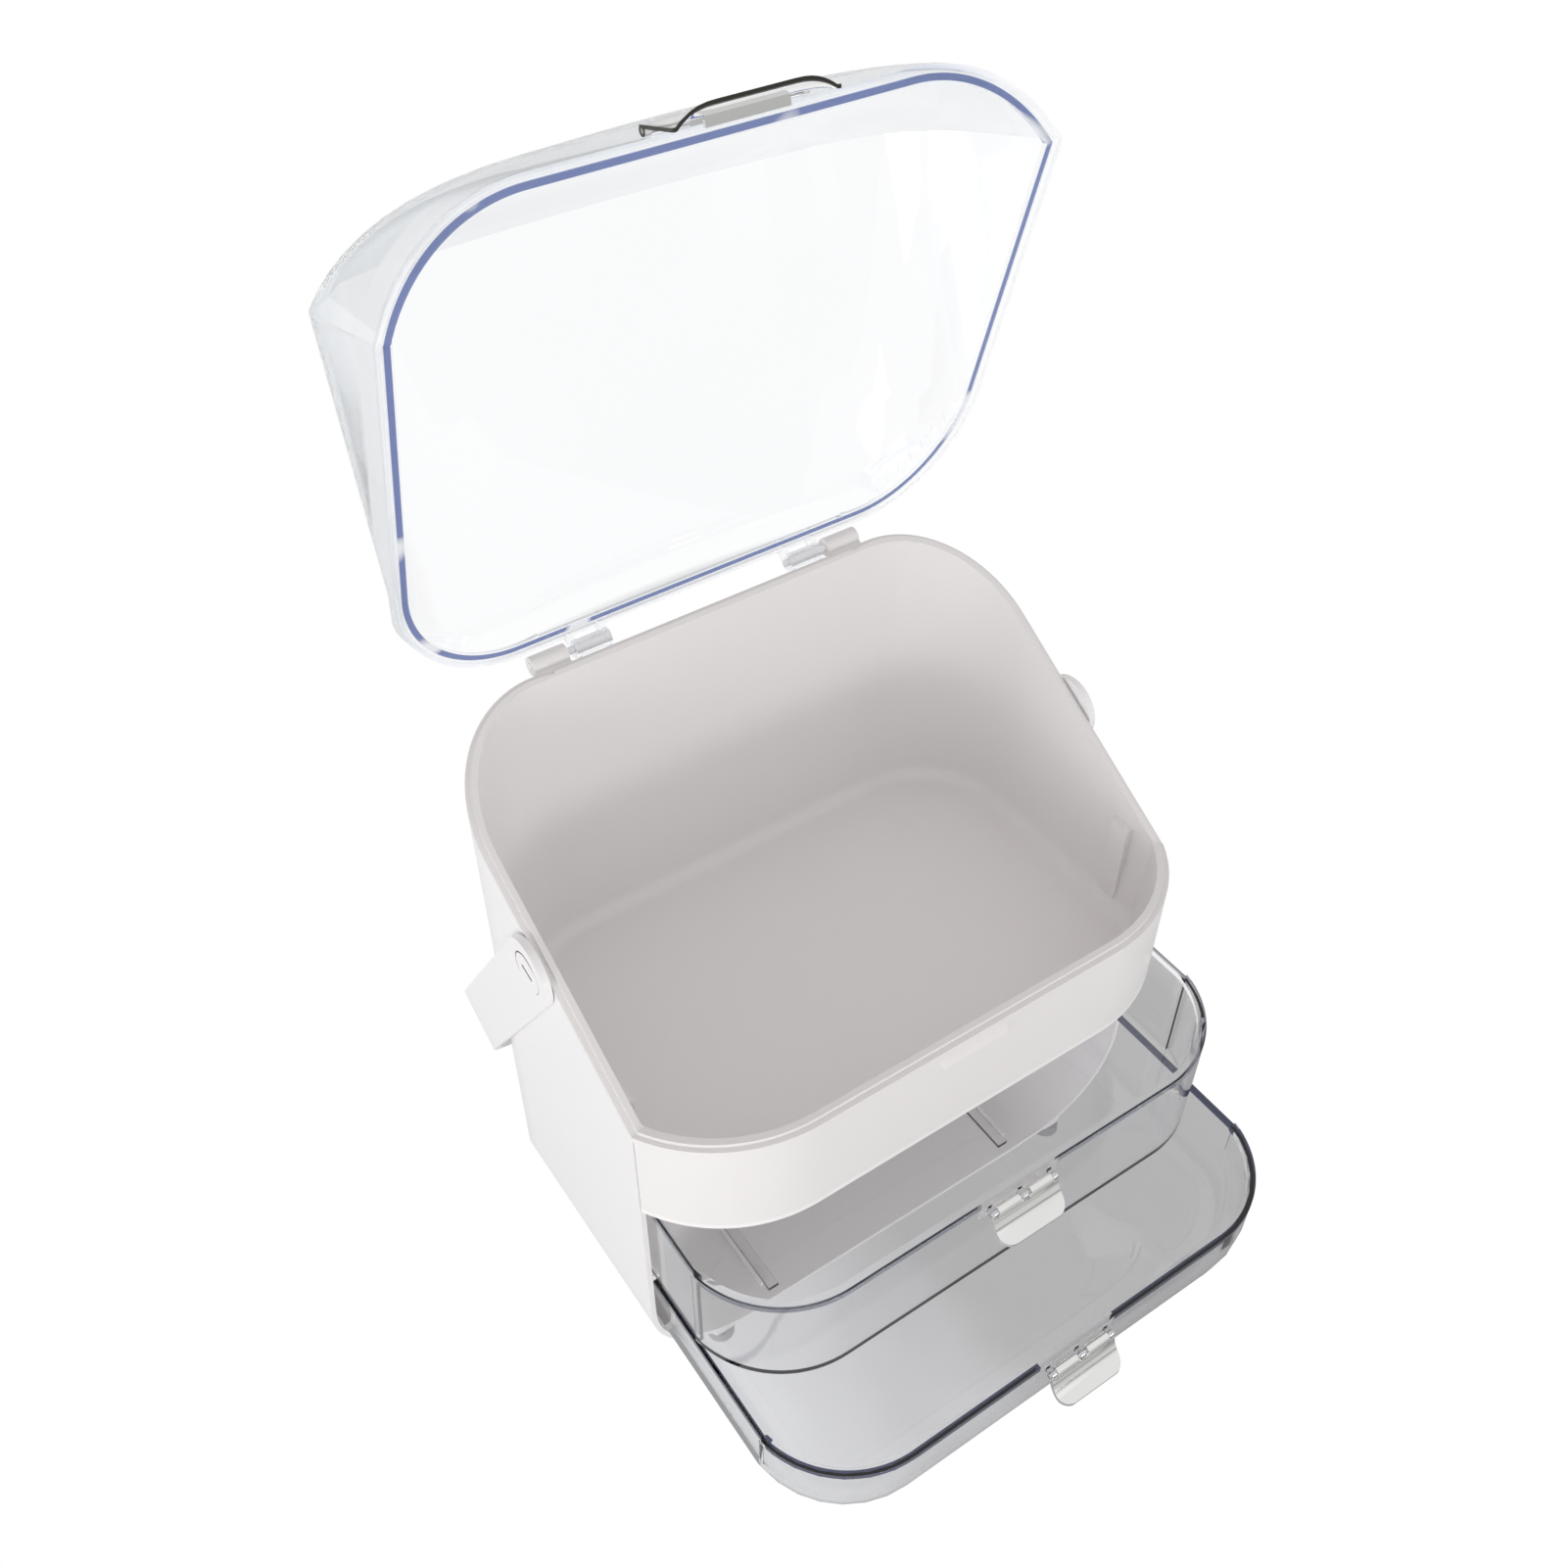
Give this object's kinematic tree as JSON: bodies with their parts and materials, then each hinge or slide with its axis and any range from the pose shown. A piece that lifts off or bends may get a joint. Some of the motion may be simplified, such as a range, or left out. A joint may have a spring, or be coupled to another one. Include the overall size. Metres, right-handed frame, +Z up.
{
  "type": "vanity organizer",
  "caption": "Free-standing cosmetics organizer: white tub under a hinged clear hood with a flip latch, over clear pull-out drawers with chrome flap pulls, and a swinging carry handle.",
  "frame": {"origin": "on the surface the feet stand on, under the middle of the whole object as it stands at rest with its hood open and its drawers pulled out", "axes": "+Z up, +X to the right seen from the front, front with the drawer pulls towards -Y"},
  "size_m": [0.3084, 0.3952, 0.5696],
  "materials": {
    "white_plastic": "gloss",
    "clear_drawer": "clear",
    "clear_hood": "clear",
    "chrome_trim": "polished",
    "steel_pin": "satin",
    "grey_rubber": "matte"
  },
  "bodies": {
    "base": {"casing": "white_plastic", "tub": "white_plastic", "handle_pivot_left": "white_plastic", "handle_pivot_right": "white_plastic", "hinge_pin_left": "steel_pin", "hinge_pin_right": "steel_pin", "foot_front_left": "grey_rubber", "foot_front_right": "grey_rubber", "foot_rear_left": "grey_rubber", "foot_rear_right": "grey_rubber"},
    "hood": {"hood": "clear_hood", "latch_pin": "steel_pin"},
    "latch": {"latch_flap": "chrome_trim"},
    "upper_drawer": {"upper_drawer": "clear_drawer", "upper_pull_pin": "steel_pin"},
    "upper_pull": {"upper_pull": "chrome_trim"},
    "lower_drawer": {"lower_drawer": "clear_drawer", "lower_pull_pin": "steel_pin"},
    "lower_pull": {"lower_pull": "chrome_trim"},
    "handle": {"handle": "white_plastic"}
  },
  "joints": [
    {"name": "hood_hinge", "type": "hinge", "parent": "base", "child": "hood", "pos_m": [0, 0.1301, 0.3175], "axis": [1, 0, 0], "range_deg": [0, 105.2]},
    {"name": "latch_hinge", "type": "hinge", "parent": "hood", "child": "latch", "pos_m": [0, 0.09684, 0.55627], "axis": [-1, 0, 0], "range_deg": [0, 95]},
    {"name": "upper_drawer_slide", "type": "slide", "parent": "base", "child": "upper_drawer", "axis": [0, -1, 0], "range_m": [-0.0398, 0.08]},
    {"name": "upper_pull_hinge", "type": "hinge", "parent": "upper_drawer", "child": "upper_pull", "pos_m": [0, -0.132, 0.1479], "axis": [-1, 0, 0], "range_deg": [0, 75]},
    {"name": "lower_drawer_slide", "type": "slide", "parent": "base", "child": "lower_drawer", "axis": [0, -1, 0], "range_m": [-0.0911, 0.029]},
    {"name": "lower_pull_hinge", "type": "hinge", "parent": "lower_drawer", "child": "lower_pull", "pos_m": [0, -0.1833, 0.0811], "axis": [-1, 0, 0], "range_deg": [0, 75]},
    {"name": "handle_hinge", "type": "hinge", "parent": "base", "child": "handle", "pos_m": [0, 0.028, 0.24882], "axis": [1, 0, 0], "range_deg": [0, 90]}
  ]
}
